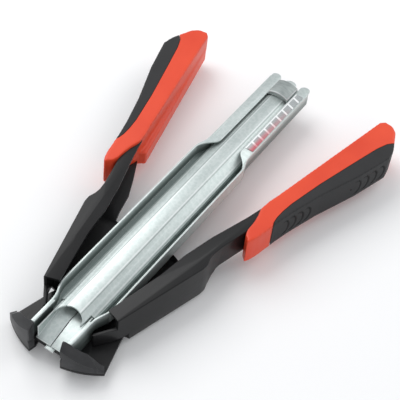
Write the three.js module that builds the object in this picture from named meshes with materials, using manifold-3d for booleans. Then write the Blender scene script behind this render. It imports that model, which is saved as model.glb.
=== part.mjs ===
// Two-handled carton closing stapler, lying on its back with the magazine's open side up.
// Units are millimetres. The origin is on the pivot axis, at the flat face of the bolt head.
// +Y runs from the pivot along the magazine to the handle ends, the claws point to -Y, +Z is up.
import * as THREE from 'three';
import { mergeVertices } from 'three/addons/utils/BufferGeometryUtils.js';
import Module from 'manifold-3d';

const wasm = await Module();
wasm.setup();

// ---- Driving dimensions -------------------------------------------------------------------
const gap = 0.3;                  // clearance between touching pieces
const armSheet = 2.0;             // steel sheet of the arms
const magazineSheet = 1.2;        // zinc plated sheet of the magazine
const headHeight = 2.5;           // pivot bolt
const headRadius = 9;
const shankRadius = 4;
const washerThickness = 1.0;
const washerRadius = 12;
const nutFlats = 12;
const nutHeight = 3.5;
const bracketHeight = 7.0;        // bracket between the crossing plates and the magazine
const bracketFront = -38;
const bracketBack = 22;
const magazineFront = -54;        // mouth of the channel
const magazineBack = 245;         // far end of the channel
const magazineHalfWidth = 21;     // wide stretch
const neckHalfWidth = 16.3;       // at the mouth
const rearHalfWidth = 17.5;       // behind the wide stretch
const magazineDepth = 11.0;       // outer depth
const lipInner = 9;               // inner edge of the rear lips
const railHalfWidth = 14;
const railFront = -37;
const armFrontOut = 9.5;          // web's front end outside the wide stretch of the magazine
const armFrontBack = -23.5;       // web's front end along Y
const armLean = 15.2;             // degrees between an arm and the magazine
const wideLength = 72;            // box-shaped stretch of an arm
const armLength = 265;
const armAboveMagazine = 3.5;     // top of the front flange above the magazine's walls
const narrowRise = 7.7;           // back edge of the slim stretch above that of the wide stretch
const gripSkin = 2.1;             // plastic over the arm, front and back
const gripLength = 278.5;         // from the web's front end to the grip's tip
const gripRound = 8;              // rounding of the grip's outer side and ends
const clawOuterRadius = 62.4;     // about the pivot
const clawInnerRadius = 57.8;
const clawTipAngle = 11.7;        // degrees from -Y to the claw's tip
const clawEndAngle = 38.6;        // degrees from -Y to its outer end
const clawHeight = 30.6;          // top of the claw's tip
const rivetShank = 1.2;
const rivetHead = 2.0;
const pusherLength = 17;

// ---- Values worked out from them ----------------------------------------------------------
const lowerPlate = headHeight + gap;
const washerBottom = lowerPlate + armSheet + gap;
const upperPlate = washerBottom + washerThickness + gap;
const bracketBottom = upperPlate + armSheet + gap;
const floorBottom = bracketBottom + bracketHeight + gap;
const floorTop = floorBottom + magazineSheet;
const wallTop = floorBottom + magazineDepth;
const flangeTop = wallTop + armAboveMagazine;
const slimBottom = lowerPlate + narrowRise;
const railBottom = floorTop + gap;
const armFrontX = magazineHalfWidth + armFrontOut;
const shankHole = shankRadius + gap;
const bracketHalfWidth = neckHalfWidth - magazineSheet - 2.1;
const far = 400;                  // past every piece, for cutting solids

const degrees = (angle) => angle * Math.PI / 180;

// ---- Materials ----------------------------------------------------------------------------
const material = (color, roughness, metalness) =>
  new THREE.MeshStandardMaterial({ color, roughness, metalness });
const zinc = material(0xcdd6d3, 0.32, 0.9);
const blackSteel = material(0x343434, 0.45, 0.4);
const boltSteel = material(0x9a9d9f, 0.35, 0.9);
const pusherGrey = material(0x9aa29f, 0.5, 0.4);
const redPlastic = material(0xf25c42, 0.5, 0.0);
const darkRubber = material(0x4b4b4b, 0.7, 0.0);
const labelWhite = material(0xe6e8e8, 0.5, 0.0);

// ---- Solids -------------------------------------------------------------------------------
const prepared = (geometry) => {
  const bare = geometry.clone();
  bare.deleteAttribute('normal');
  bare.deleteAttribute('uv');
  return mergeVertices(bare, 1e-4);
};

const solid = (geometry) => {
  const merged = prepared(geometry);
  return new wasm.Manifold(new wasm.Mesh({
    numProp: 3,
    vertProperties: Float32Array.from(merged.attributes.position.array),
    triVerts: Uint32Array.from(merged.index.array),
  }));
};

const geometryOf = (body) => {
  const mesh = body.getMesh();
  const geometry = new THREE.BufferGeometry();
  geometry.setAttribute('position', new THREE.BufferAttribute(Float32Array.from(mesh.vertProperties), 3));
  geometry.setIndex(new THREE.BufferAttribute(Uint32Array.from(mesh.triVerts), 1));
  geometry.computeVertexNormals();
  return geometry;
};

const joined = (bodies) => bodies.reduce((sum, body) => sum.add(body));

const outline = (points) => new THREE.Shape(points.map(([x, y]) => new THREE.Vector2(x, y)));

// A closed outline through straight points and round stretches: a nested list is a spline.
const curvedOutline = (start, stretches) => {
  const shape = new THREE.Shape();
  shape.moveTo(...start);
  for (const stretch of stretches) {
    if (Array.isArray(stretch[0])) {
      shape.splineThru(stretch.map(([x, y]) => new THREE.Vector2(x, y)));
    } else {
      shape.lineTo(...stretch);
    }
  }
  return shape;
};

// Slabs between two planes: the outline lies in XY, in YZ, or in XZ.
const slabZ = (shape, low, high, segments = 6) =>
  new THREE.ExtrudeGeometry(shape, { depth: high - low, bevelEnabled: false, curveSegments: segments })
    .translate(0, 0, low);

const slabX = (shape, low, high, segments = 6) => {
  const turn = new THREE.Matrix4().makeBasis(
    new THREE.Vector3(0, 1, 0), new THREE.Vector3(0, 0, 1), new THREE.Vector3(1, 0, 0));
  return slabZ(shape, low, high, segments).applyMatrix4(turn);
};

const slabY = (shape, low, high, segments = 6) => {
  const turn = new THREE.Matrix4().makeBasis(
    new THREE.Vector3(1, 0, 0), new THREE.Vector3(0, 0, 1), new THREE.Vector3(0, -1, 0));
  return slabZ(shape, -high, -low, segments).applyMatrix4(turn);
};

const box = (x0, x1, y0, y1, z0, z1) =>
  new THREE.BoxGeometry(x1 - x0, y1 - y0, z1 - z0)
    .translate((x0 + x1) / 2, (y0 + y1) / 2, (z0 + z1) / 2);

const rod = (radius, x, y, low, high, sides = 24) =>
  new THREE.CylinderGeometry(radius, radius, high - low, sides)
    .rotateX(Math.PI / 2)
    .translate(x, y, (low + high) / 2);

// The left half of the tool is the right half reflected in the plane x = 0.
const reflected = (geometry) => {
  const copy = prepared(geometry);
  copy.scale(-1, 1, 1);
  const index = copy.index.array;
  for (let i = 0; i < index.length; i += 3) {
    [index[i], index[i + 1]] = [index[i + 1], index[i]];
  }
  copy.computeVertexNormals();
  return copy;
};

const group = new THREE.Group();

const addPiece = (name, geometry, look) => {
  const mesh = new THREE.Mesh(geometry, look);
  mesh.name = name;
  group.add(mesh);
};

// ---- Magazine channel ---------------------------------------------------------------------
// One sheet: cheeks at the mouth, an open trough in the middle, and in-turned lips behind.
const neckEnd = -34;
const wideStart = -13;
const wideEnd = 140;
const rearStart = 157;
const floorFront = neckEnd + 1;

const channelPlan = (inset, front, back) => {
  const neck = neckHalfWidth - inset;
  const wide = magazineHalfWidth - inset;
  const rear = rearHalfWidth - inset;
  const shape = new THREE.Shape();
  const frontMiddle = (neckEnd + wideStart) / 2;
  const backMiddle = (wideEnd + rearStart) / 2;
  shape.moveTo(-neck, front);
  shape.lineTo(neck, front);
  shape.lineTo(neck, neckEnd);
  shape.bezierCurveTo(neck, frontMiddle, wide, frontMiddle, wide, wideStart);
  shape.lineTo(wide, wideEnd);
  shape.bezierCurveTo(wide, backMiddle, rear, backMiddle, rear, rearStart);
  shape.lineTo(rear, back);
  shape.lineTo(-rear, back);
  shape.lineTo(-rear, rearStart);
  shape.bezierCurveTo(-rear, backMiddle, -wide, backMiddle, -wide, wideEnd);
  shape.lineTo(-wide, wideStart);
  shape.bezierCurveTo(-wide, frontMiddle, -neck, frontMiddle, -neck, neckEnd);
  shape.closePath();
  return shape;
};

const tabRadius = (rearHalfWidth - lipInner) / 2;
const tabEnd = magazineBack + 1;

const rearLip = () => {
  const edge = rearHalfWidth;
  const lipStart = rearStart + 3;
  const shape = new THREE.Shape();
  shape.moveTo(magazineHalfWidth, wideEnd);
  shape.lineTo(edge, rearStart);
  shape.lineTo(edge, tabEnd);
  shape.absarc(edge - tabRadius, tabEnd, tabRadius, 0, Math.PI, false);
  shape.lineTo(lipInner, lipStart);
  shape.bezierCurveTo(lipInner, lipStart - 7, edge, lipStart - 7, magazineHalfWidth - 0.5, wideEnd);
  return slabZ(shape, wallTop - magazineSheet, wallTop, 8);
};

// Side wall of the mouth, deeper than the trough, with a narrow lip turned in at the top.
const mouthCheek = () => {
  const outer = neckHalfWidth;
  const section = outline([
    [outer - magazineSheet, bracketBottom + 0.1], [outer, bracketBottom + 0.1], [outer, wallTop],
    [outer - 2.5, wallTop], [outer - 2.5, wallTop - magazineSheet], [outer - magazineSheet, wallTop - magazineSheet],
  ]);
  return slabY(section, magazineFront, floorFront + 0.5);
};

const magazineChannel = () => {
  const outside = solid(slabZ(channelPlan(0, floorFront, magazineBack), floorBottom, wallTop));
  const inside = solid(slabZ(
    channelPlan(magazineSheet, floorFront - 5, magazineBack + 5), floorTop, wallTop + 10));
  const within = solid(slabZ(channelPlan(0.4, floorFront, magazineBack + 20), floorBottom, wallTop + 5));
  const pieces = [
    outside.subtract(inside),
    solid(rearLip()).intersect(within),
    solid(reflected(rearLip())).intersect(within),
    solid(mouthCheek()),
    solid(reflected(mouthCheek())),
  ];
  const holes = [
    solid(rod(shankHole, 0, 0, 0, floorTop + 1)),
    ...bracketRivetPlaces.map(([x, y]) => solid(rod(rivetShank + gap, x, y, 0, floorTop + 1, 12))),
  ];
  return geometryOf(joined(pieces).subtract(joined(holes)));
};

// ---- Domed rail that carries the staples --------------------------------------------------
const railShoulder = wallTop - 5.5;      // outer edge of the slopes
const railCrease = wallTop - 0.9;        // inner edge of the slopes
const creaseHalfWidth = 5.8;
const domeTop = wallTop - 0.1;
const railTongue = 5.5;

// Foot, shoulder, crease and top of the section's right half, moved in by an inset.
const railProfile = (inset) => [
  [railHalfWidth - inset, railBottom],
  [railHalfWidth - inset, railShoulder - inset * 0.58],
  [creaseHalfWidth - inset * 0.2, railCrease - inset * 1.05],
  [0, domeTop - inset],
];

const left = ([x, z]) => [-x, z];

const railSection = () => {
  const [foot, shoulder, crease, top] = railProfile(0);
  const [footIn, shoulderIn, creaseIn, topIn] = railProfile(magazineSheet);
  const shape = new THREE.Shape();
  shape.moveTo(...footIn);
  shape.lineTo(...foot);
  shape.lineTo(...shoulder);
  shape.lineTo(...crease);
  shape.quadraticCurveTo(0, 2 * top[1] - crease[1], ...left(crease));
  shape.lineTo(...left(shoulder));
  shape.lineTo(...left(foot));
  shape.lineTo(...left(footIn));
  shape.lineTo(...left(shoulderIn));
  shape.lineTo(...left(creaseIn));
  shape.quadraticCurveTo(0, 2 * topIn[1] - creaseIn[1], ...creaseIn);
  shape.lineTo(...shoulderIn);
  shape.closePath();
  return shape;
};

const linerBack = -26;
const linerOuter = neckHalfWidth - magazineSheet - 2.9;
const linerSheet = 1.0;

const archCut = () => {
  const halfWidth = 9.8;
  const shape = new THREE.Shape();
  shape.moveTo(-halfWidth, railFront - 5);
  shape.lineTo(halfWidth, railFront - 5);
  shape.lineTo(halfWidth, railFront + 1);
  shape.absellipse(0, railFront + 1, halfWidth, 6.5, 0, Math.PI, false);
  shape.closePath();
  return slabZ(shape, railShoulder - 4, domeTop + 2, 10);
};

const railEndTongue = () => {
  const shape = new THREE.Shape();
  shape.moveTo(-railTongue, magazineBack - 3);
  shape.lineTo(railTongue, magazineBack - 3);
  shape.lineTo(railTongue, magazineBack);
  shape.absarc(0, magazineBack, railTongue, 0, Math.PI, false);
  shape.closePath();
  return slabZ(shape, railCrease - magazineSheet, railCrease, 8);
};

const magazineRail = () => {
  const rail = solid(slabY(railSection(), railFront, magazineBack, 10)).add(solid(railEndTongue()));
  const side = linerOuter - linerSheet - 2 * gap;
  const clearance = linerBack + gap;
  const cuts = joined([
    solid(archCut()),
    solid(box(side, far, railFront - 1, clearance, 0, far)),
    solid(box(-far, -side, railFront - 1, clearance, 0, far)),
    solid(box(-far, far, railFront - 1, clearance, 0, railBottom + linerSheet + gap)),
  ]);
  return geometryOf(rail.subtract(cuts));
};

// ---- Liners of the mouth: two folded plates that meet in a seam on the centre line --------
const linerFall = 6;              // the liner slopes down from the rail to the mouth
const linerBend = floorFront - 0.5;
const linerFront = magazineFront - 0.5;

const mouthLiner = () => {
  const low = railBottom;
  const floor = slabX(outline([
    [linerFront, low - linerFall], [linerBend, low], [linerBack, low], [linerBack, low + linerSheet],
    [linerBend, low + linerSheet], [linerFront, low + linerSheet - linerFall],
  ]), gap, linerOuter);
  const wall = slabX(outline([
    [linerFront + 1.5, low - linerFall + 0.9], [linerBend, low], [linerBack, low],
    [linerBack, wallTop - 5], [linerFront + 1.5, wallTop - 5],
  ]), linerOuter - linerSheet, linerOuter);
  return geometryOf(solid(floor).add(solid(wall)));
};

// ---- Pusher that drives the staple strip along the rail -----------------------------------
const pusherBack = magazineBack - 2;
const pusherFront = pusherBack - pusherLength;
const pusherTop = domeTop + 4.5;

const pusherSection = () => {
  const outside = rearHalfWidth - magazineSheet - gap;
  const underLip = wallTop - magazineSheet - gap;
  const [foot, shoulder, crease, top] = railProfile(-gap * 1.1);
  const neck = lipInner - gap;
  const low = foot[1] + 1;
  const shape = new THREE.Shape();
  shape.moveTo(foot[0], low);
  shape.lineTo(outside, low);
  shape.lineTo(outside, underLip);
  shape.lineTo(neck, underLip);
  shape.lineTo(neck, pusherTop - 2.5);
  shape.quadraticCurveTo(0, pusherTop + 2.5, -neck, pusherTop - 2.5);
  shape.lineTo(-neck, underLip);
  shape.lineTo(-outside, underLip);
  shape.lineTo(-outside, low);
  shape.lineTo(-foot[0], low);
  shape.lineTo(...left(shoulder));
  shape.lineTo(...left(crease));
  shape.quadraticCurveTo(0, 2 * top[1] - crease[1], ...crease);
  shape.lineTo(...shoulder);
  shape.closePath();
  return shape;
};

const pusher = () => slabY(pusherSection(), pusherFront, pusherBack, 10);

// ---- Pivot: bolt, washer and nut, and the bracket that spaces the magazine off the plates -
const boltTop = railBottom + nutHeight + 0.7;

const pivotBolt = () => geometryOf(
  solid(rod(headRadius, 0, 0, 0, headHeight, 32))
    .add(solid(rod(shankRadius, 0, 0, headHeight - 0.5, boltTop))));

const ring = (outer, inner, low, high, sides) => geometryOf(
  solid(rod(outer, 0, 0, low, high, sides)).subtract(solid(rod(inner, 0, 0, low - 1, high + 1))));

const pivotWasher = () => ring(washerRadius, shankHole, washerBottom, washerBottom + washerThickness, 32);

const pivotNut = () => {
  const cornerRadius = nutFlats / 2 / Math.cos(degrees(30));
  return ring(cornerRadius, shankHole, railBottom, railBottom + nutHeight, 6);
};

const footSheet = 1.5;
const rivetRoom = 0.75;
const rivetX = bracketHalfWidth - armSheet - rivetHead - rivetRoom;
const footInner = rivetX - rivetHead - rivetRoom;
const footFront = -20;
const bracketRivetPlaces = [[rivetX, -14], [-rivetX, -14], [rivetX, 16], [-rivetX, 16]];

// A tray under the magazine whose walls turn inwards at the top into two feet. The feet are
// riveted to the floor under the rail.
const pivotBracket = () => {
  const top = bracketBottom + bracketHeight;
  const wall = armSheet;
  const half = bracketHalfWidth;
  const body = solid(box(-half, half, bracketFront, bracketBack, bracketBottom, top));
  const tunnel = solid(box(-half + wall, half - wall, bracketFront - 1, bracketBack + 1,
    bracketBottom + wall, top + 1));
  const foot = box(footInner, half, footFront, bracketBack, top - footSheet, top);
  const holes = joined([
    solid(rod(shankHole, 0, 0, 0, top + 1)),
    ...bracketRivetPlaces.map(([x, y]) => solid(rod(rivetShank + gap, x, y, 0, top + 1, 12))),
  ]);
  const feet = solid(foot).add(solid(reflected(foot)));
  return geometryOf(body.subtract(tunnel).add(feet).subtract(holes));
};

const bracketRivet = ([x, y]) => {
  const footBottom = bracketBottom + bracketHeight - footSheet;
  const shank = solid(rod(rivetShank, x, y, footBottom - gap - 0.5, railBottom + 0.4, 12));
  const upper = solid(rod(rivetHead, x, y, railBottom, railBottom + 0.9, 16));
  const lower = solid(rod(rivetHead, x, y, footBottom - gap - 0.9, footBottom - gap, 16));
  return geometryOf(joined([shank, upper, lower]));
};

// ---- Nose under the mouth: a black block with a slot, and the bright tongue in the slot ---
const noseFront = magazineFront - 1;
const noseBack = bracketFront - gap;
const noseHalfWidth = neckHalfWidth - magazineSheet - gap;
const noseTop = railBottom - linerFall - 0.5;
const tongueHalfWidth = 3.5;

const noseBlock = () => {
  const slot = tongueHalfWidth + gap;
  const body = solid(box(-noseHalfWidth, noseHalfWidth, noseFront, noseBack, bracketBottom, noseTop));
  return geometryOf(body.subtract(solid(
    box(-slot, slot, noseFront - 1, noseBack - 6, bracketBottom + 0.7, noseTop + 1))));
};

const noseTongue = () => box(-tongueHalfWidth, tongueHalfWidth,
  noseFront - 1.8, noseBack - 6 - gap, bracketBottom + 0.7 + gap, noseTop);

// ---- Arms ---------------------------------------------------------------------------------
// Along an arm, s is measured from the web's front end and t across it, inwards.
const lean = degrees(armLean);

const armPoint = ([s, t]) => [
  armFrontX + s * Math.sin(lean) - t * Math.cos(lean),
  armFrontBack + s * Math.cos(lean) + t * Math.sin(lean),
];

const webOuter = (shift) => [
  [0, shift], [wideLength, shift - 0.6], [wideLength + 5, shift + 0.4], [wideLength + 10, shift + 3.4],
  [wideLength + 15, shift + 5], [wideLength + 23, shift + 5.9], [wideLength + 49, shift + 6.2],
  [163, shift + 9], [armLength, shift + 14.5],
];

const flangeInner = [
  [armLength, 21.7], [160, 14.7], [147, 15.6], [wideLength + 55, 15.3], [wideLength + 23, 16.6],
  [wideLength - 2, 15.9], [46, 12.9], [0.7, 11],
];

const backInner = [
  [armLength, 20.5], [160, 13.6], [144, 13.4], [133, 15.7], [wideLength + 48, 18.3],
  [wideLength + 32, 20.9], [wideLength + 16, 20.5], [wideLength + 8, 20.2],
];

const flangePlan = () => outline([...webOuter(0), ...flangeInner].map(armPoint));

const webPlan = () => outline([...webOuter(0), ...webOuter(armSheet).reverse()].map(armPoint));

// The back of the right arm crosses under the magazine to the claw on the left side.
const clawPoint = (radius, angle) => [-radius * Math.sin(degrees(angle)), -radius * Math.cos(degrees(angle))];

const crossingPlan = () => {
  const notchEnd = 10;
  const webSide = [...webOuter(0).filter(([s]) => s > 0)].map(armPoint);
  const shape = new THREE.Shape();
  shape.moveTo(...armPoint([notchEnd, 0]));
  webSide.forEach((point) => shape.lineTo(...point));
  backInner.map(armPoint).forEach((point) => shape.lineTo(...point));
  shape.lineTo(24, 58.1);
  shape.lineTo(15.5, 60.3);
  shape.splineThru([[4, 50], [1, 34], [-4, 22], [-13, 12], [-21, 1], [-28, -10], [-31, -17]]
    .map(([x, y]) => new THREE.Vector2(x, y)));
  shape.lineTo(-32.4, -23.3);
  shape.lineTo(-36.5, -39.2);
  shape.lineTo(...clawPoint(clawOuterRadius, clawEndAngle));
  const start = degrees(270 - clawEndAngle);
  const end = degrees(270 - clawTipAngle);
  shape.absarc(0, 0, clawOuterRadius, start, end, false);
  shape.lineTo(...clawPoint(clawInnerRadius - 1, clawTipAngle));
  shape.splineThru([[-13.5, -42], [-8, -28], [8, -21], [26, -15]].map(([x, y]) => new THREE.Vector2(x, y)));
  shape.closePath();
  return shape;
};

// Side view of the back sheet: low under the magazine, a slope at the shoulder, then high.
const slopeStart = 57;
const slopeEnd = 66;

const backBand = (level) => outline([
  [-far, level], [slopeStart, level], [slopeEnd, slimBottom], [far, slimBottom],
  [far, slimBottom + armSheet], [slopeEnd - 0.6, slimBottom + armSheet],
  [slopeStart - 0.6, level + armSheet], [-far, level + armSheet],
]);

const webBand = (level) => {
  const notchHigh = bracketBottom + 0.5;
  const notchBack = armPoint([10, 0])[1];
  return outline([
    [-far, notchHigh], [notchBack, notchHigh], [notchBack, level], [slopeStart, level],
    [slopeEnd, slimBottom], [far, slimBottom], [far, flangeTop], [-far, flangeTop],
  ]);
};

// Wall that turns inwards from the web's front end towards the mouth.
const gusset = () => {
  const low = bracketBottom + 0.5;
  const high = wallTop - 6;
  const [x0, y0] = armPoint([0, 0]);
  const [x1, y1] = armPoint([2.5, armSheet]);
  const tip = neckHalfWidth + 3.4;
  return slabZ(outline([
    [x0, y0], [x0 + 0.3, y0 + 2], [x1, y1], [tip, -34.8], [tip, -36.7], [tip + 1, -36.7],
  ]), low, high);
};

const rightArm = (level) => {
  const web = solid(slabZ(webPlan(), 0, far)).intersect(solid(slabX(webBand(level), -far, far)));
  const flange = solid(slabZ(flangePlan(), flangeTop - armSheet, flangeTop));
  const back = solid(slabZ(crossingPlan(), 0, far, 8)).intersect(solid(slabX(backBand(level), -far, far)));
  const holes = joined([
    solid(rod(shankHole, 0, 0, 0, bracketBottom)),
    ...clawRivetAngles.map((angle) => solid(rod(rivetShank + gap, ...clawPoint(clawMiddleRadius, angle),
      0, bracketBottom, 12))),
  ]);
  return geometryOf(joined([web, flange, back, solid(gusset())]).subtract(holes));
};

// ---- Claws --------------------------------------------------------------------------------
const clawMiddleRadius = (clawOuterRadius + clawInnerRadius) / 2;
const clawMiddleAngle = (clawTipAngle + clawEndAngle) / 2;
const clawRivetAngles = [clawMiddleAngle - 6, clawMiddleAngle + 7];

// Half-moon seen along the radius: tall at the tip, falling away to the outer end.
const clawFace = (low) => {
  const half = clawOuterRadius * Math.sin(degrees((clawEndAngle - clawTipAngle) / 2)) + 0.5;
  const shape = new THREE.Shape();
  shape.moveTo(half, low);
  shape.lineTo(half, low + 6);
  shape.lineTo(half - 1.8, low + 7);
  shape.lineTo(half - 1.8, low + 8.8);
  shape.lineTo(half, low + 9.8);
  shape.lineTo(half, clawHeight - 1.8);
  shape.splineThru([[half - 1.5, clawHeight], [half - 5, clawHeight - 0.4], [4, clawHeight - 2.8],
    [0, clawHeight - 5], [-6, clawHeight - 11.2], [-11, clawHeight - 17.8], [-half, clawHeight - 21]]
    .map(([x, z]) => new THREE.Vector2(x, z)));
  shape.lineTo(-half, low);
  shape.closePath();
  return shape;
};

// Space outside the flat bevel ground on the claw's outer face.
const bevelCut = () => {
  const normal = new THREE.Vector3(-0.42, -1.6, 1).normalize();
  const turn = new THREE.Quaternion().setFromUnitVectors(new THREE.Vector3(0, 0, 1), normal);
  return box(-far, far, -far, far, 0, far)
    .applyQuaternion(turn)
    .translate(0, -clawOuterRadius, clawHeight - 13.6);
};

const leftClaw = (plateTop) => {
  const low = plateTop + gap;
  const arc = new THREE.Shape();
  const start = degrees(270 - (clawEndAngle - clawTipAngle) / 2);
  const end = degrees(270 + (clawEndAngle - clawTipAngle) / 2);
  arc.absarc(0, 0, clawOuterRadius, start, end, false);
  arc.absarc(0, 0, clawInnerRadius, end, start, true);
  arc.closePath();
  const wall = solid(slabZ(arc, low, clawHeight, 10));
  const face = solid(slabY(clawFace(low), -far / 2, 0, 10));
  const cut = wall.intersect(face).subtract(solid(bevelCut()));
  const turned = geometryOf(cut).rotateZ(-degrees(clawMiddleAngle));
  const holes = joined(clawRivetAngles.map((angle) =>
    solid(rod(rivetShank + gap, ...clawPoint(clawMiddleRadius, angle), 0, low + 3.5, 12))));
  return geometryOf(solid(turned).subtract(holes));
};

const clawRivet = (level, angle) => {
  const [x, y] = clawPoint(clawMiddleRadius, angle);
  const shank = solid(rod(rivetShank, x, y, level - gap - 0.5, level + armSheet + 3, 12));
  return geometryOf(shank.add(solid(rod(rivetHead, x, y, level - gap - 1, level - gap, 16))));
};

// ---- Grips --------------------------------------------------------------------------------
// A red sleeve over the end of the arm with a slanted mouth, and a dark insert on its outside.
const gripBottom = slimBottom - gripSkin;
const gripTop = flangeTop + gripSkin;
const gripMiddle = (gripBottom + gripTop) / 2;
const tip = gripLength;

const gripOuterEdge = [
  [tip - 3.3, 8.7], [tip - 18, -2.6], [tip - 26.5, -6.4], [tip - 58.5, -5.8], [tip - 95.5, -2.3],
  [tip - 123, -1.5], [tip - 138, -1.9], [tip - 160, -3.2], [tip - 170.5, -2.2],
];
const gripMouth = [[112, 0.3], [115, 5.1], [121, 6.7], [129, 9.4], [139, 14.7]];
const frontSeam = [[148, 16.4], [157, 16.6], [tip - 5, 24.4]];
const backSeam = [[141, 20.2], [tip - 7, 24.2]];

const gripPlan = (seam) => curvedOutline(armPoint(gripOuterEdge.at(-1)), [
  gripMouth.map(armPoint),
  ...seam.map(armPoint),
  [[tip - 0.6, 21.5], [tip, 14.7], ...gripOuterEdge].map(armPoint),
]);

// Rounded outside of the grip: its outer side, mouth and tip, but not the side towards the magazine.
const gripEnvelope = () => {
  const low = gripBottom - 0.3;
  const high = gripTop + 3;
  const plan = outline([
    gripOuterEdge.at(-1), [116, 5], [128, 9.2], [139, 14.7], [146, 60], [tip - 4, 60],
    [tip - 0.3, 21.5], [tip, 14.7], ...gripOuterEdge.slice(0, -1),
  ].map(armPoint));
  return new THREE.ExtrudeGeometry(plan, {
    depth: high - low - 2 * gripRound,
    bevelThickness: gripRound,
    bevelSize: gripRound / 2,
    bevelOffset: -gripRound / 2,
    bevelSegments: 4,
  }).translate(0, 0, low + gripRound);
};

const insertPlan = (grow) => curvedOutline(armPoint([135.5 - grow, -4]), [
  [[149, 1.8 + grow], [164, 5.2 + grow], [190, 6.6 + grow], [224, 6.4 + grow], [252, 6.4 + grow],
    [266 + grow, 6.2 + grow], [271.5 + grow, 2.8]].map(armPoint),
  armPoint([272 + grow, -20]),
  armPoint([135.5 - grow, -20]),
]);

const armPocket = () => {
  const clearance = 0.4;
  const ends = ([s, t]) => [s === armLength ? s + gap : s, t];
  const outerLine = webOuter(-clearance).map(ends);
  const innerLine = flangeInner.map(([s, t]) => [s, t + clearance]).map(ends);
  return slabZ(outline([...outerLine, ...innerLine].map(armPoint)),
    slimBottom - clearance, flangeTop + clearance);
};

const rightInsert = () => {
  const inside = solid(slabZ(insertPlan(0), gripBottom - 0.3, gripTop + 0.3, 6));
  const edge = solid(slabZ(gripPlan(frontSeam), gripBottom - 1, gripTop + 1, 8));
  return geometryOf(inside.intersect(edge).intersect(solid(gripEnvelope())));
};

const rightGrip = () => {
  const front = solid(slabZ(gripPlan(frontSeam), gripMiddle - 0.5, gripTop, 8));
  const back = solid(slabZ(gripPlan(backSeam), gripBottom, gripMiddle, 8));
  const room = solid(slabZ(insertPlan(gap), gripBottom - 5, gripTop + 5, 6));
  const shell = front.add(back).intersect(solid(gripEnvelope()));
  return geometryOf(shell.subtract(room).subtract(solid(armPocket())));
};

// ---- Label on the right lip ---------------------------------------------------------------
const labelPlate = () => box(lipInner + 1, rearHalfWidth - 1, rearStart + 6, magazineBack - 7,
  wallTop + gap, wallTop + 2 * gap);

// ---- Assembly -----------------------------------------------------------------------------
addPiece('magazine_channel', magazineChannel(), zinc);
addPiece('magazine_rail', magazineRail(), zinc);
addPiece('mouth_liner_right', mouthLiner(), zinc);
addPiece('mouth_liner_left', reflected(mouthLiner()), zinc);
addPiece('nose_block', noseBlock(), blackSteel);
addPiece('nose_tongue', noseTongue(), zinc);
addPiece('pivot_bracket', pivotBracket(), blackSteel);
bracketRivetPlaces.forEach((place, i) => {
  addPiece(`bracket_rivet_${i + 1}`, bracketRivet(place), boltSteel);
});
addPiece('pivot_bolt', pivotBolt(), boltSteel);
addPiece('pivot_washer', pivotWasher(), boltSteel);
addPiece('pivot_nut', pivotNut(), boltSteel);
addPiece('label_plate', labelPlate(), labelWhite);
addPiece('pusher', pusher(), pusherGrey);
addPiece('right_arm', rightArm(lowerPlate), blackSteel);
addPiece('left_arm', reflected(rightArm(upperPlate)), blackSteel);
addPiece('left_claw', leftClaw(lowerPlate + armSheet), blackSteel);
addPiece('right_claw', reflected(leftClaw(upperPlate + armSheet)), blackSteel);
clawRivetAngles.forEach((angle, i) => {
  addPiece(`left_claw_rivet_${i + 1}`, clawRivet(lowerPlate, angle), boltSteel);
  addPiece(`right_claw_rivet_${i + 1}`, reflected(clawRivet(upperPlate, angle)), boltSteel);
});
addPiece('right_grip', rightGrip(), redPlastic);
addPiece('left_grip', reflected(rightGrip()), redPlastic);
addPiece('right_grip_insert', rightInsert(), darkRubber);
addPiece('left_grip_insert', reflected(rightInsert()), darkRubber);

export default group;
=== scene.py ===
import math

import bpy
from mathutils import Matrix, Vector


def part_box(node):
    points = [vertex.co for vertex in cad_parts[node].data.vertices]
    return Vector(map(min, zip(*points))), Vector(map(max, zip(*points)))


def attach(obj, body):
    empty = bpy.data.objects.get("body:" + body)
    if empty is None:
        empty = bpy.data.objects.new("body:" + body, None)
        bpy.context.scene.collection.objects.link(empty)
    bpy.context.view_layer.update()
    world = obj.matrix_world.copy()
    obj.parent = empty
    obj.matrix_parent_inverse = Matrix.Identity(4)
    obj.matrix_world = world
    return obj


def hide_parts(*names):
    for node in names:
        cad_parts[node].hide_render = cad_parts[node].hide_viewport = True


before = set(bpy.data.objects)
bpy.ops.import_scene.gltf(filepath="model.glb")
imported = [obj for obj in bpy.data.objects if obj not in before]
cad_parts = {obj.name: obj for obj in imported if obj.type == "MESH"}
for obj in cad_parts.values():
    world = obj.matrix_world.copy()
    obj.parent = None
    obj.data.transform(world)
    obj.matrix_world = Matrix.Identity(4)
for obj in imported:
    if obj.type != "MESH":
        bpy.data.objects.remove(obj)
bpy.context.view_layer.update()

# ---------------------------------------------------------------------------------------------
# Camera: looks down on the open magazine from in front of the mouth, a little from the right.
scene = bpy.context.scene
camera_data = bpy.data.cameras.new("camera")
camera_data.lens = 102.32
camera_data.sensor_width = 36
camera = bpy.data.objects.new("camera", camera_data)
camera.location = (0.2671, -0.3800, 0.6255)
camera.rotation_euler = (math.radians(41.937), math.radians(-5.110), math.radians(33.699))
scene.collection.objects.link(camera)
scene.camera = camera
scene.view_settings.view_transform = "Standard"

# ---------------------------------------------------------------------------------------------
# Studio: a pale table top just under the pivot bolt, a bright surround and three soft lamps.
world = bpy.data.worlds.new("surround")
world.use_nodes = True
world.node_tree.nodes["Background"].inputs["Color"].default_value = (0.95, 0.97, 1.0, 1)
world.node_tree.nodes["Background"].inputs["Strength"].default_value = 0.56
scene.world = world

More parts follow.
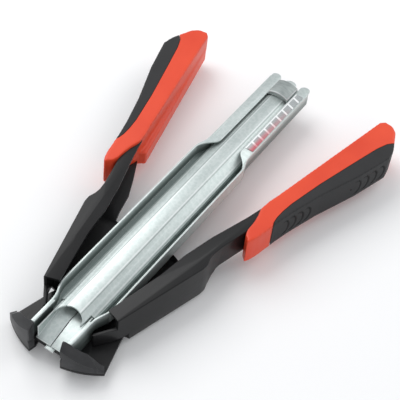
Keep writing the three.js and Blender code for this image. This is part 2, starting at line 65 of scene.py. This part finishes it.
for name, place, side, power in [
    ("key", (-0.80, 0.30, 1.05), 1.1, 10.0),
    ("fill", (0.75, -1.00, 0.70), 0.9, 3.5),
    ("back", (0.45, 1.15, 0.8), 1.0, 4.5),
]:
    lamp = bpy.data.lights.new(name, "AREA")
    lamp.size = side
    lamp.energy = power
    holder = bpy.data.objects.new(name, lamp)
    holder.location = place
    aim = Vector((0, 0.09, 0.01)) - holder.location
    holder.rotation_euler = aim.to_track_quat("-Z", "Y").to_euler()
    scene.collection.objects.link(holder)


class Socket:
    """A node's output that adds Math nodes when it is used in an expression."""

    def __init__(self, tree, output):
        self.tree = tree
        self.output = output

    def maths(self, operation, *terms):
        node = self.tree.nodes.new("ShaderNodeMath")
        node.operation = operation
        for place, term in zip(node.inputs, terms):
            if isinstance(term, Socket):
                self.tree.links.new(term.output, place)
            else:
                place.default_value = term
        return Socket(self.tree, node.outputs[0])

    def __add__(self, other): return self.maths("ADD", self, other)
    def __radd__(self, other): return self.maths("ADD", other, self)
    def __sub__(self, other): return self.maths("SUBTRACT", self, other)
    def __rsub__(self, other): return self.maths("SUBTRACT", other, self)
    def __mul__(self, other): return self.maths("MULTIPLY", self, other)
    def __rmul__(self, other): return self.maths("MULTIPLY", other, self)
    def __truediv__(self, other): return self.maths("DIVIDE", self, other)
    def __gt__(self, other): return self.maths("GREATER_THAN", self, other)
    def __abs__(self): return self.maths("ABSOLUTE", self)

    def node(self, kind, output, settings, values):
        """Any other node: its settings first, then the values or links of its sockets."""
        made = self.tree.nodes.new(kind)
        for key, value in settings.items():
            setattr(made, key, value)
        for key, value in values.items():
            if isinstance(value, Socket):
                self.tree.links.new(value.output, made.inputs[key])
            else:
                made.inputs[key].default_value = value
        return Socket(self.tree, made.outputs[output])

    def limited(self):
        return self.maths("MINIMUM", self.maths("MAXIMUM", self, 0.0), 1.0)

    def mixed(self, first, second):
        """The first colour where this value is 0 and the second where it is 1."""
        return self.node("ShaderNodeMix", 2, {"data_type": "RGBA"}, {0: self.limited(), 6: first, 7: second})

    def noise(self, scale, detail=3.0, stretch=(1, 1, 1)):
        """Fine variation over a piece, where this socket is its place."""
        laid = self.node("ShaderNodeMapping", "Vector", {}, {"Vector": self, "Scale": stretch})
        return self.node("ShaderNodeTexNoise", "Fac", {}, {"Vector": laid, "Scale": scale, "Detail": detail})


def new_material(name, metallic, coat=0.0):
    """A named material, its shader, and its place on the piece as a socket."""
    made = bpy.data.materials.new(name)
    made.use_nodes = True
    tree = made.node_tree
    shader = tree.nodes["Principled BSDF"]
    shader.inputs["Metallic"].default_value = metallic
    shader.inputs["Coat Weight"].default_value = coat
    where = tree.nodes.new("ShaderNodeTexCoord")
    return made, shader, Socket(tree, where.outputs["Object"])


def set_finish(place, shader, colour, roughness, height, depth):
    """Links the colour, roughness and relief of a surface to its shader; depth is in metres."""
    tree = place.tree
    bump = place.node("ShaderNodeBump", "Normal", {}, {"Height": height, "Distance": depth, "Strength": 0.6})
    tree.links.new(colour.output, shader.inputs["Base Color"])
    tree.links.new(roughness.output, shader.inputs["Roughness"])
    tree.links.new(bump.output, shader.inputs["Normal"])


table, shader, place = new_material("table_top", 0.0)
cloud = place.noise(3.0)
set_finish(place, shader, cloud.mixed((0.93, 0.93, 0.93, 1), (0.97, 0.97, 0.97, 1)),
           0.75 + 0.1 * cloud, place.noise(600.0), 0.00005)
bpy.ops.mesh.primitive_plane_add(size=6, location=(0, 0.1, -0.0006))
floor = bpy.context.object
floor.name = "table"
floor.data.materials.append(table)

# ---------------------------------------------------------------------------------------------
# Magazine: channel, staple rail and mouth liners, folded from zinc plated sheet. The plating is
# pale and a little green, drawn along the sheet, and brighter on the broken edges where it is worn.
# Each of the rail's two long folds gets a dark line of painted crease shade with a painted highlight
# beside it, and the channel's inner walls are darkened low down with painted shade.
zinc = {}
fold_width = 0.0006
for name, folds, wall_shade_strength in (("zinc_plated_sheet", (), 0.0), ("zinc_plated_rail", (0.0058, 0.0134), 0.0),
                            ("zinc_plated_channel", (), 0.8)):
    zinc[name], shader, place = new_material(name, 0.62)
    drawn = place.noise(90.0, 5.0, (9, 0.35, 9))
    patches = place.noise(45.0, 3.0)
    flakes = place.node("ShaderNodeTexVoronoi", "Distance", {}, {"Vector": place, "Scale": 420.0})
    worn = place.node("ShaderNodeAttribute", "Fac", {"attribute_name": "edge"}, {})
    plate = (0.35 * drawn + 0.45 * patches + 0.1).mixed((0.42, 0.49, 0.475, 1), (0.68, 0.735, 0.72, 1))
    plate = (0.2 * (flakes > 0.55)).mixed(plate, (0.80, 0.83, 0.82, 1))
    height = place.node("ShaderNodeSeparateXYZ", "Z", {}, {"Vector": place})
    side = abs(Socket(place.tree, height.output.node.outputs["X"]))
    for fold in folds:
        # Painted shade: a dark line along each fold, then a painted highlight band just inside it.
        crease_shade = (1 - abs(side - fold) / fold_width).limited()
        plate = (0.7 * crease_shade).mixed(plate, (0.20, 0.24, 0.23, 1))
        fold_highlight = (1 - abs(side - fold + 0.0011) / (fold_width + 0.0001)).limited()
        plate = (0.6 * fold_highlight).mixed(plate, (0.90, 0.92, 0.92, 1))
    # Painted shade: the channel's inner walls darken inside |x| < 20.3 mm and below z 26.5 mm.
    if wall_shade_strength:
        inner_wall_shade = ((0.0203 - side) / 0.0003).limited() * ((0.0265 - height) / 0.006).limited()
        plate = (wall_shade_strength * inner_wall_shade).mixed(plate, (0.12, 0.155, 0.147, 1))
    plate = (0.7 * worn).mixed(plate, (0.93, 0.94, 0.94, 1))
    set_finish(place, shader, plate, 0.34 + 0.18 * patches - 0.12 * worn, drawn + 0.3 * flakes, 0.00006)


def softened(node, body, finish, width, segments=2, folds=None):
    """A copy of a sheet metal piece with its sharp edges broken, and its folds rolled round.
    folds is the radius of a fold and a test that picks its edges."""
    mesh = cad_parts[node].data.copy()
    mesh.materials.clear()
    piece = bpy.data.objects.new(node + "_finished", mesh)
    scene.collection.objects.link(piece)
    bpy.ops.object.select_all(action="DESELECT")
    bpy.context.view_layer.objects.active = piece
    piece.select_set(True)
    bpy.ops.object.mode_set(mode="EDIT")
    bpy.ops.mesh.select_all(action="SELECT")
    bpy.ops.mesh.remove_doubles(threshold=0.00002)
    bpy.ops.mesh.dissolve_limited(angle_limit=math.radians(1.0))
    bpy.ops.object.mode_set(mode="OBJECT")
    if folds:
        radius, chosen = folds
        bpy.ops.object.mode_set(mode="EDIT")
        bpy.ops.mesh.select_mode(type="EDGE")
        bpy.ops.mesh.select_all(action="DESELECT")
        bpy.ops.object.mode_set(mode="OBJECT")
        normals = {}
        for face in mesh.polygons:
            for key in face.edge_keys:
                normals.setdefault(key, []).append(face.normal)
        for edge in mesh.edges:
            sides = normals.get(edge.key, [])
            middle = (mesh.vertices[edge.vertices[0]].co + mesh.vertices[edge.vertices[1]].co) / 2
            edge.select = len(sides) == 2 and chosen(middle, *sides)
        bpy.ops.object.mode_set(mode="EDIT")
        bpy.ops.mesh.bevel(offset=radius, offset_type="OFFSET", segments=4, clamp_overlap=True)
        bpy.ops.object.mode_set(mode="OBJECT")
    mesh.materials.append(finish)
    mesh.materials.append(finish)
    bevel = piece.modifiers.new("broken_edges", "BEVEL")
    bevel.width = width
    bevel.segments = segments
    bevel.limit_method = "ANGLE"
    bevel.angle_limit = math.radians(32)
    bevel.material = 1
    bpy.ops.object.modifier_apply(modifier=bevel.name)
    edge = piece.data.attributes.new("edge", "FLOAT", "FACE")
    edge.data.foreach_set("value", [float(face.material_index) for face in piece.data.polygons])
    for face in piece.data.polygons:
        face.material_index = 0
    piece.data.materials.pop(index=1)
    bpy.ops.object.shade_smooth_by_angle(angle=math.radians(32))
    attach(piece, body)
    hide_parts(node)
    return piece


softened("magazine_channel", "magazine", zinc["zinc_plated_channel"], 0.00028)
softened("magazine_rail", "magazine", zinc["zinc_plated_rail"], 0.00030)
for side in ("left", "right"):
    softened("mouth_liner_" + side, "magazine", zinc["zinc_plated_sheet"], 0.00022)
softened("nose_tongue", "magazine", zinc["zinc_plated_sheet"], 0.0003)

# ---------------------------------------------------------------------------------------------
# Label: a thin printed plate glued to the right rear lip. Plain grey blocks with white bars
# between them, and a red band that fades out along the outer edge. It carries no words.
label, shader, place = new_material("printed_plate", 0.0, 0.4)
split = place.node("ShaderNodeSeparateXYZ", "Y", {}, {"Vector": place})
across = Socket(place.tree, split.output.node.outputs["X"])
slanted = split + 0.35 * across
step = slanted.maths("FRACT", slanted / 0.0088)
bar = step > 0.80
speck = place.noise(900.0, 4.0)
ink = speck.mixed((0.20, 0.22, 0.23, 1), (0.52, 0.55, 0.55, 1))
margin = (0.0112 - across) / 0.0004
blocks = (bar + margin.limited()).mixed(ink, (0.86, 0.88, 0.88, 1))
red = ((0.222 - split) / 0.05).limited() * ((across - 0.0118) / 0.003).limited()
blocks = (0.75 * red).mixed(blocks, (0.62, 0.05, 0.08, 1))
set_finish(place, shader, blocks, 0.32 + 0.2 * speck, step, 0.00003)
softened("label_plate", "magazine", label, 0.00005)

# ---------------------------------------------------------------------------------------------
# Pusher: a pressed steel saddle that slides on the rail, dull grey from tumbling, scuffed where
# it rubs under the lips.
pressed, shader, place = new_material("tumbled_steel", 0.6)
worn = place.node("ShaderNodeAttribute", "Fac", {"attribute_name": "edge"}, {})
scuff = place.noise(160.0, 4.0, (1, 4, 1))
dull = (scuff * 1.4 - 0.2).mixed((0.22, 0.25, 0.245, 1), (0.42, 0.46, 0.45, 1))
dull = (0.7 * worn).mixed(dull, (0.66, 0.68, 0.68, 1))
set_finish(place, shader, dull, 0.34 + 0.3 * scuff, scuff, 0.0001)
softened("pusher", "pusher_slide", pressed, 0.0007, 3)

# ---------------------------------------------------------------------------------------------
# Fasteners: a plain steel bolt, washer and nut on the pivot, and cold headed rivets.
turned, shader, place = new_material("turned_steel", 0.9)
worn = place.node("ShaderNodeAttribute", "Fac", {"attribute_name": "edge"}, {})
smear = place.noise(220.0, 4.0)
steel = (smear * 1.3 - 0.15).mixed((0.30, 0.31, 0.32, 1), (0.52, 0.53, 0.54, 1))
steel = (0.6 * worn).mixed(steel, (0.76, 0.76, 0.76, 1))
set_finish(place, shader, steel, 0.28 + 0.2 * smear, place.noise(1400.0), 0.00003)
for node in ("pivot_bolt", "pivot_nut", "pivot_washer"):
    softened(node, "magazine", turned, 0.0004, 3)
for i in range(4):
    softened("bracket_rivet_%d" % (i + 1), "magazine", turned, 0.00035, 3)
for side, body in (("left", "right_handle"), ("right", "left_handle")):
    for i in range(2):
        softened("%s_claw_rivet_%d" % (side, i + 1), body, turned, 0.00035, 3)

# ---------------------------------------------------------------------------------------------
# Arms: 2 mm steel folded into an open box and painted satin black. The long outer fold is rolled
# to a wide radius that catches the light, the cut edges are just broken, and paint has thinned there.
painted, shader, place = new_material("satin_black_paint", 0.0, 0.12)
shader.inputs["Specular IOR Level"].default_value = 0.26
worn = place.node("ShaderNodeAttribute", "Fac", {"attribute_name": "edge"}, {})
peel = place.noise(700.0, 2.0)
drift = place.noise(28.0, 4.0)
chips = (place.noise(520.0, 5.0) * 3.0 - 1.75).limited() * worn
black = (drift * 1.5 - 0.25).mixed((0.005, 0.005, 0.0054, 1), (0.012, 0.012, 0.0125, 1))
black = (0.22 * worn + 0.5 * chips).mixed(black, (0.12, 0.12, 0.12, 1))
set_finish(place, shader, black, 0.36 + 0.16 * drift + 0.1 * chips, peel, 0.00008)
lean = math.radians(15.2)
for side, body, hand in (("right", "right_handle", 1), ("left", "left_handle", -1)):
    outward = Vector((hand * math.cos(lean), -math.sin(lean), 0))

    def rolled(middle, first, second, outward=outward):
        level, wall = (first, second) if abs(first.z) > abs(second.z) else (second, first)
        return abs(level.z) > 0.6 and abs(wall.z) < 0.3 and wall.dot(outward) > 0.55 and middle.z > 0.009 \
            and (middle.z > 0.029 or middle.z < 0.0125)

    softened(side + "_arm", body, painted, 0.00035, 2, (0.0022, rolled))
softened("nose_block", "magazine", painted, 0.0004)
softened("pivot_bracket", "magazine", painted, 0.0004)

# ---------------------------------------------------------------------------------------------
# Claws: hardened steel riveted to the arm ends, dark from heat treatment, with a ground bevel.
# Each left claw rides on the right handle and each right claw on the left one, as the arms cross.
hardened, shader, place = new_material("hardened_steel", 0.2)
shader.inputs["Specular IOR Level"].default_value = 0.35
worn = place.node("ShaderNodeAttribute", "Fac", {"attribute_name": "edge"}, {})
scale = place.noise(120.0, 4.0)
ground = place.noise(80.0, 4.0, (1, 1, 12))
dark = (scale * 1.5 - 0.25).mixed((0.014, 0.014, 0.0155, 1), (0.040, 0.041, 0.043, 1))
dark = (0.6 * worn).mixed(dark, (0.20, 0.20, 0.20, 1))
set_finish(place, shader, dark, 0.34 + 0.2 * scale, ground, 0.00008)
softened("left_claw", "right_handle", hardened, 0.0004)
softened("right_claw", "left_handle", hardened, 0.0004)

# ---------------------------------------------------------------------------------------------
# Grips: a red-orange plastic sleeve pressed over each arm, with a soft dark insert moulded into
# its outer side. Both are one rounded form cut along a fine groove. Arcs are pressed in the insert.
plastic, shader, place = new_material("satin_red_plastic", 0.0, 0.1)
shader.inputs["Specular IOR Level"].default_value = 0.35
sheen = place.noise(26.0, 3.0)
grain = place.noise(1500.0, 2.0)
orange = (sheen * 1.4 - 0.2).mixed((0.68, 0.048, 0.016, 1), (0.82, 0.078, 0.026, 1))
set_finish(place, shader, orange, 0.36 + 0.14 * sheen, grain, 0.00006)

rubber, shader, place = new_material("soft_dark_rubber", 0.0)
shader.inputs["Specular IOR Level"].default_value = 0.3
grain = place.noise(1100.0, 4.0)
bloom = place.noise(40.0, 4.0)
arc_groove_shade = place.node("ShaderNodeAttribute", "Fac", {"attribute_name": "arc"}, {})
soft = (bloom * 1.4 - 0.2).mixed((0.017, 0.017, 0.018, 1), (0.030, 0.030, 0.031, 1))
# Painted shade: the pressed arcs are coloured near black, as shade in the grooves.
soft = (0.9 * arc_groove_shade).mixed(soft, (0.004, 0.004, 0.004, 1))
set_finish(place, shader, soft, 0.52 + 0.15 * bloom, grain, 0.00012)

corner_x, corner_y = 0.0305, -0.0235    # the arm's front outer corner
grip_low, grip_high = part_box("right_grip")[0].z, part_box("right_grip")[1].z
tip = 0.2785


def arm_point(along, inward):
    """A place in plan: along the arm from its front end, and inward from the arm's outer face."""
    return (corner_x + along * math.sin(lean) - inward * math.cos(lean),
            corner_y + along * math.cos(lean) + inward * math.sin(lean))


def slab(name, outline, low, high):
    """A flat blank with this outline, from a disc pulled to the outline and extruded up."""
    bpy.ops.object.select_all(action="DESELECT")
    bpy.ops.mesh.primitive_circle_add(vertices=len(outline), fill_type="NGON")
    blank = bpy.context.object
    blank.name = name
    for vertex, (along, inward) in zip(blank.data.vertices, outline):
        x, y = arm_point(along, inward)
        vertex.co = (x, y, low)
    bpy.ops.object.mode_set(mode="EDIT")
    bpy.ops.mesh.select_all(action="SELECT")
    bpy.ops.mesh.extrude_region_move(TRANSFORM_OT_translate={"value": (0, 0, high - low)})
    bpy.ops.mesh.select_all(action="SELECT")
    bpy.ops.mesh.normals_make_consistent(inside=False)
    bpy.ops.object.mode_set(mode="OBJECT")
    return blank


def applied(piece, kind, **settings):
    """Adds a modifier and applies it."""
    bpy.ops.object.select_all(action="DESELECT")
    bpy.context.view_layer.objects.active = piece
    piece.select_set(True)
    made = piece.modifiers.new(kind.lower(), kind)
    for key, value in settings.items():
        setattr(made, key, value)
    bpy.ops.object.modifier_apply(modifier=made.name)


outer_side = [(tip - 0.0033, 0.0087), (tip - 0.018, -0.0026), (tip - 0.0265, -0.0064), (tip - 0.0585, -0.0058),
              (tip - 0.0955, -0.0023), (tip - 0.123, -0.0015), (tip - 0.138, -0.0019), (tip - 0.157, -0.0033),
              (tip - 0.163, -0.0031), (tip - 0.168, -0.0020)]
mouth = [(0.1128, 0.0006), (0.1142, 0.0036), (0.118, 0.0060), (0.1245, 0.0079), (0.132, 0.0108),
         (0.139, 0.0147)]
tip_end = [(tip - 0.0006, 0.0215), (tip, 0.0147)]
front_side = [(0.148, 0.0164), (0.157, 0.0166), (tip - 0.005, 0.0240)]
back_side = [(0.141, 0.0202), (tip - 0.007, 0.0242)]
middle = (grip_low + grip_high) / 2

grip = slab("grip_form", outer_side + mouth + back_side + tip_end, grip_low, middle)
front = slab("grip_front", outer_side + mouth + front_side + tip_end, middle - 0.002, grip_high)
applied(grip, "BOOLEAN", operation="UNION", object=front, solver="EXACT")
bpy.data.objects.remove(front)
# The outer bottom edge is rounded much more than the others.
bpy.ops.object.mode_set(mode="EDIT")
bpy.ops.mesh.select_mode(type="EDGE")
bpy.ops.mesh.select_all(action="DESELECT")
bpy.ops.object.mode_set(mode="OBJECT")
side_way = Vector((math.cos(lean), -math.sin(lean), 0))
normals = {}
for face in grip.data.polygons:
    for key in face.edge_keys:
        normals.setdefault(key, []).append(face.normal)
for edge in grip.data.edges:
    sides = normals.get(edge.key, [])
    low_edge = all(grip.data.vertices[v].co.z < grip_low + 0.0005 for v in edge.vertices)
    faces_out = any(n.dot(side_way) > 0.5 for n in sides)
    edge.select = low_edge and faces_out
bpy.ops.object.mode_set(mode="EDIT")
bpy.ops.mesh.bevel(offset=0.0065, segments=4, clamp_overlap=True)
bpy.ops.object.mode_set(mode="OBJECT")
applied(grip, "REMESH", mode="VOXEL", voxel_size=0.0009)
applied(grip, "SMOOTH", factor=0.5, iterations=9)

insert_side = [(0.1335, -0.006), (0.1345, -0.0030), (0.1375, -0.0006), (0.1425, 0.0014), (0.150, 0.0031),
               (0.160, 0.0045), (0.190, 0.0058), (0.224, 0.0058), (0.250, 0.0056), (0.260, 0.0044),
               (0.266, 0.0016), (0.269, -0.004)]
for side, body, hand in (("right", "right_handle", 1), ("left", "left_handle", -1)):
    shell = grip.copy()
    shell.data = grip.data.copy()
    insert = grip.copy()
    insert.data = grip.data.copy()
    for piece, name, grow, operation in ((shell, "_grip_moulding", 0.00035, "DIFFERENCE"),
                                         (insert, "_grip_pad", 0.0, "INTERSECT")):
        scene.collection.objects.link(piece)
        grown = [(along + (grow if along > 0.2 else -grow), inward + grow) for along, inward in insert_side]
        cutter = slab("cutter", grown + [(0.2725 + grow, -0.03), (0.1325 - grow, -0.03)], -0.01, 0.05)
        applied(piece, "BOOLEAN", operation=operation, object=cutter, solver="EXACT")
        bpy.data.objects.remove(cutter)
        piece.name = side + name
        if operation == "INTERSECT":
            applied(piece, "SUBSURF", subdivision_type="SIMPLE", levels=1, render_levels=1)
            arc = piece.data.attributes.new("arc", "FLOAT", "POINT")
            depths = []
            for vertex in piece.data.vertices:
                x, y, z = vertex.co
                along = (x - corner_x) * math.sin(lean) + (y - corner_y) * math.cos(lean)
                inward = -(x - corner_x) * math.cos(lean) + (y - corner_y) * math.sin(lean)
                depth = 0.0
                for centre in [0.1455 + 0.0072 * i for i in range(4)] + [0.216 + 0.0085 * i for i in range(5)]:
                    reach = math.hypot(along - centre, z - 0.0205)
                    if along > centre and abs(z - 0.0205) < 0.0068:
                        depth = max(depth, 1 - abs(reach - 0.0075) / 0.0011)
                depth = max(depth, 1 - math.hypot(along - 0.214, z - 0.0205) / 0.0012)
                depths.append(depth if inward < 0.0015 else 0.0)
            arc.data.foreach_set("value", depths)
            for vertex, depth in zip(piece.data.vertices, depths):
                if depth > 0:
                    vertex.co += side_way * -0.0011 * depth
        piece.data.materials.clear()
        piece.data.materials.append(rubber if operation == "INTERSECT" else plastic)
        bpy.ops.object.shade_smooth_by_angle(angle=math.radians(35))
        if hand < 0:
            for vertex in piece.data.vertices:
                vertex.co.x = -vertex.co.x
            piece.data.flip_normals()
        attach(piece, body)
    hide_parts(side + "_grip")
    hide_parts(side + "_grip_insert")
bpy.data.objects.remove(grip)
